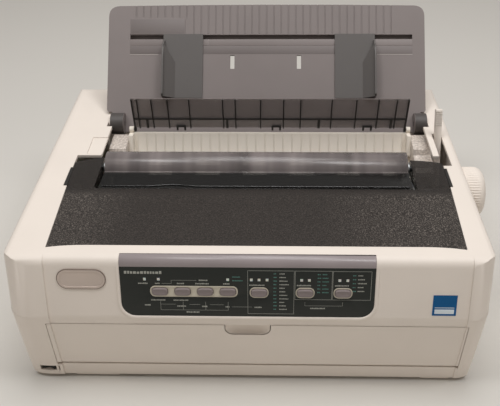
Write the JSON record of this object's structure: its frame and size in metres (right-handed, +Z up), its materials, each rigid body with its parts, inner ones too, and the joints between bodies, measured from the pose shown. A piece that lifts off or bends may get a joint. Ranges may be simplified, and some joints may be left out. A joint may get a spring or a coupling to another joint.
{
  "type": "dot matrix printer",
  "caption": "Narrow-carriage dot matrix printer: white housing, smoked hinged cover, clear roller cover, folding paper support with guides, panel buttons, platen knob and a moving print head.",
  "frame": {"origin": "middle of the footprint of the whole machine, measured with the knob and the raised support, on the surface it stands on", "axes": "+X to the right seen from the front, +Y to the back, +Z up"},
  "size_m": [0.429, 0.3344, 0.2452],
  "materials": {
    "white_abs": "fine textured ABS",
    "white_acetal": "moulded acetal",
    "grey_abs": "fine textured ABS",
    "dark_grey_abs": "fine textured ABS",
    "smoked_plastic": "textured smoked polycarbonate",
    "black_plastic": "moulded",
    "clear_plastic": "clear polycarbonate",
    "steel": "ground",
    "sheet_steel": "zinc plated sheet",
    "rubber": "ground rubber",
    "panel_grey": "satin",
    "panel_charcoal": "satin film",
    "bezel_beige": "printed and raised",
    "button_taupe": "moulded",
    "lamp_window": "frosted",
    "circuit_board": "solder mask",
    "badge_bronze": "satin metallic",
    "label_blue": "printed film",
    "ribbon_blue": "moulded",
    "motor_metal": "painted can",
    "brass": "machined",
    "head_metal": "black anodised",
    "power_case": "bent sheet"
  },
  "bodies": {
    "printer": {"base_tray": "white_abs", "rubber_feet": "rubber", "upper_housing": "white_abs", "housing_screws": "steel", "cover_switch": "grey_abs", "support_pins": "steel", "exit_guide": "white_abs", "bracket_left": "clear_plastic", "bracket_right": "clear_plastic", "panel_band": "panel_grey", "panel_face": "panel_charcoal", "button_bezels": "bezel_beige", "lamp_windows": "lamp_window", "panel_board": "circuit_board", "badge_plate": "badge_bronze", "front_label": "label_blue", "side_plate_left": "sheet_steel", "side_plate_right": "sheet_steel", "cross_frames": "sheet_steel", "guide_rod": "steel", "feed_motor": "motor_metal", "drive_belt": "black_plastic", "belt_motor": "motor_metal", "tractor_shaft": "steel", "main_board": "circuit_board", "power_unit": "power_case"},
    "front_door": {"front_door": "white_abs"},
    "top_cover": {"top_cover": "smoked_plastic", "cover_grips": "dark_grey_abs"},
    "roller_cover": {"roller_cover": "clear_plastic"},
    "pull_up": {"pull_up_shaft": "steel", "pull_up_rollers": "rubber", "pull_up_gear": "white_acetal"},
    "paper_support": {"paper_support": "grey_abs"},
    "guide_left": {"guide_left": "dark_grey_abs"},
    "guide_right": {"guide_right": "dark_grey_abs"},
    "separator": {"separator_sheet": "smoked_plastic", "separator_frame": "black_plastic"},
    "button_1": {"button_1": "button_taupe"},
    "button_2": {"button_2": "button_taupe"},
    "button_3": {"button_3": "button_taupe"},
    "button_4": {"button_4": "button_taupe"},
    "button_5": {"button_5": "button_taupe"},
    "button_6": {"button_6": "button_taupe"},
    "button_7": {"button_7": "button_taupe"},
    "power_switch": {"power_switch": "black_plastic"},
    "paper_lever": {"paper_lever": "white_abs"},
    "platen": {"platen_shaft": "steel", "platen": "rubber", "platen_gear": "white_acetal", "platen_knob": "white_abs"},
    "feed_pinion": {"motor_pinion": "brass"},
    "carriage": {"carriage": "dark_grey_abs", "print_head": "head_metal", "ribbon_cartridge": "black_plastic"},
    "ribbon_knob": {"ribbon_knob": "ribbon_blue"},
    "belt_pulley": {"belt_pulley": "white_acetal"},
    "idler_pulley": {"idler_pulley": "white_acetal"},
    "tractor_left": {"tractor_left": "dark_grey_abs"},
    "tractor_right": {"tractor_right": "dark_grey_abs"}
  },
  "joints": [
    {"name": "door_hinge", "type": "hinge", "parent": "printer", "child": "front_door", "pos_m": [-0.0042, -0.15327, 0.0217], "axis": [1, 0, 0], "range_deg": [0, 70]},
    {"name": "top_cover_hinge", "type": "hinge", "parent": "printer", "child": "top_cover", "pos_m": [-0.007, -0.00517, 0.136], "axis": [-1, 0, 0], "range_deg": [0, 70]},
    {"name": "roller_cover_hinge", "type": "hinge", "parent": "printer", "child": "roller_cover", "pos_m": [-0.007, -0.00517, 0.136], "axis": [-1, 0, 0], "range_deg": [0, 55]},
    {"name": "platen_spin", "type": "hinge", "parent": "printer", "child": "platen", "pos_m": [-0.007, -0.00517, 0.11], "axis": [1, 0, 0], "continuous": true},
    {"name": "pull_up_spin", "type": "hinge", "parent": "printer", "child": "pull_up", "pos_m": [-0.007, -0.00517, 0.136], "axis": [1, 0, 0], "continuous": true},
    {"name": "pinion_spin", "type": "hinge", "parent": "printer", "child": "feed_pinion", "pos_m": [0.136, 0.0118, 0.09303], "axis": [1, 0, 0], "continuous": true},
    {"name": "support_fold", "type": "hinge", "parent": "printer", "child": "paper_support", "pos_m": [0.0012, 0.08083, 0.1425], "axis": [-1, 0, 0], "range_deg": [-104, 0]},
    {"name": "separator_fold", "type": "hinge", "parent": "printer", "child": "separator", "pos_m": [0.00575, 0.06883, 0.1415], "axis": [-1, 0, 0], "range_deg": [-75, 0]},
    {"name": "guide_left_slide", "type": "slide", "parent": "paper_support", "child": "guide_left", "axis": [1, 0, 0], "range_m": [-0.02, 0.012]},
    {"name": "guide_right_slide", "type": "slide", "parent": "paper_support", "child": "guide_right", "axis": [1, 0, 0], "range_m": [-0.06, 0.012]},
    {"name": "button_1_press", "type": "slide", "parent": "printer", "child": "button_1", "axis": [0, 0.9874, -0.1583], "range_m": [0, 0.0008], "stiffness_N_per_m": 400, "springref_m": -0.001},
    {"name": "button_2_press", "type": "slide", "parent": "printer", "child": "button_2", "axis": [0, 0.9874, -0.1583], "range_m": [0, 0.0008], "stiffness_N_per_m": 400, "springref_m": -0.001},
    {"name": "button_3_press", "type": "slide", "parent": "printer", "child": "button_3", "axis": [0, 0.9874, -0.1583], "range_m": [0, 0.0008], "stiffness_N_per_m": 400, "springref_m": -0.001},
    {"name": "button_4_press", "type": "slide", "parent": "printer", "child": "button_4", "axis": [0, 0.9874, -0.1583], "range_m": [0, 0.0008], "stiffness_N_per_m": 400, "springref_m": -0.001},
    {"name": "button_5_press", "type": "slide", "parent": "printer", "child": "button_5", "axis": [0, 0.9874, -0.1583], "range_m": [0, 0.0008], "stiffness_N_per_m": 400, "springref_m": -0.001},
    {"name": "button_6_press", "type": "slide", "parent": "printer", "child": "button_6", "axis": [0, 0.9874, -0.1583], "range_m": [0, 0.0008], "stiffness_N_per_m": 400, "springref_m": -0.001},
    {"name": "button_7_press", "type": "slide", "parent": "printer", "child": "button_7", "axis": [0, 0.9874, -0.1583], "range_m": [0, 0.0008], "stiffness_N_per_m": 400, "springref_m": -0.001},
    {"name": "power_rock", "type": "hinge", "parent": "printer", "child": "power_switch", "pos_m": [-0.1915, -0.14817, 0.0127], "axis": [0, 0, 1], "range_deg": [0, 12]},
    {"name": "lever_swing", "type": "hinge", "parent": "printer", "child": "paper_lever", "pos_m": [0.1766, 0.02283, 0.085], "axis": [1, 0, 0], "range_deg": [0, 38]},
    {"name": "carriage_slide", "type": "slide", "parent": "printer", "child": "carriage", "axis": [1, 0, 0], "range_m": [-0.1, 0.1]},
    {"name": "ribbon_knob_spin", "type": "hinge", "parent": "carriage", "child": "ribbon_knob", "pos_m": [0.015, -0.05517, 0.134], "axis": [0, 0, 1], "continuous": true},
    {"name": "belt_pulley_spin", "type": "hinge", "parent": "printer", "child": "belt_pulley", "pos_m": [0.127, -0.07917, 0.073], "axis": [0, 0, 1], "range_deg": [-720, 720]},
    {"name": "idler_spin", "type": "hinge", "parent": "printer", "child": "idler_pulley", "pos_m": [-0.133, -0.07917, 0.073], "axis": [0, 0, 1], "range_deg": [-720, 720]},
    {"name": "tractor_left_slide", "type": "slide", "parent": "printer", "child": "tractor_left", "axis": [1, 0, 0], "range_m": [-0.02, 0.03]},
    {"name": "tractor_right_slide", "type": "slide", "parent": "printer", "child": "tractor_right", "axis": [1, 0, 0], "range_m": [-0.1, 0.008]}
  ],
  "couplings": [
    {"joint": "pull_up_spin", "follows": "platen_spin", "ratio": -2.25},
    {"joint": "pinion_spin", "follows": "platen_spin", "ratio": -3},
    {"joint": "separator_fold", "follows": "support_fold", "ratio": 0.71},
    {"joint": "belt_pulley_spin", "follows": "carriage_slide", "rad_per_m": -125},
    {"joint": "idler_spin", "follows": "carriage_slide", "rad_per_m": -125}
  ]
}
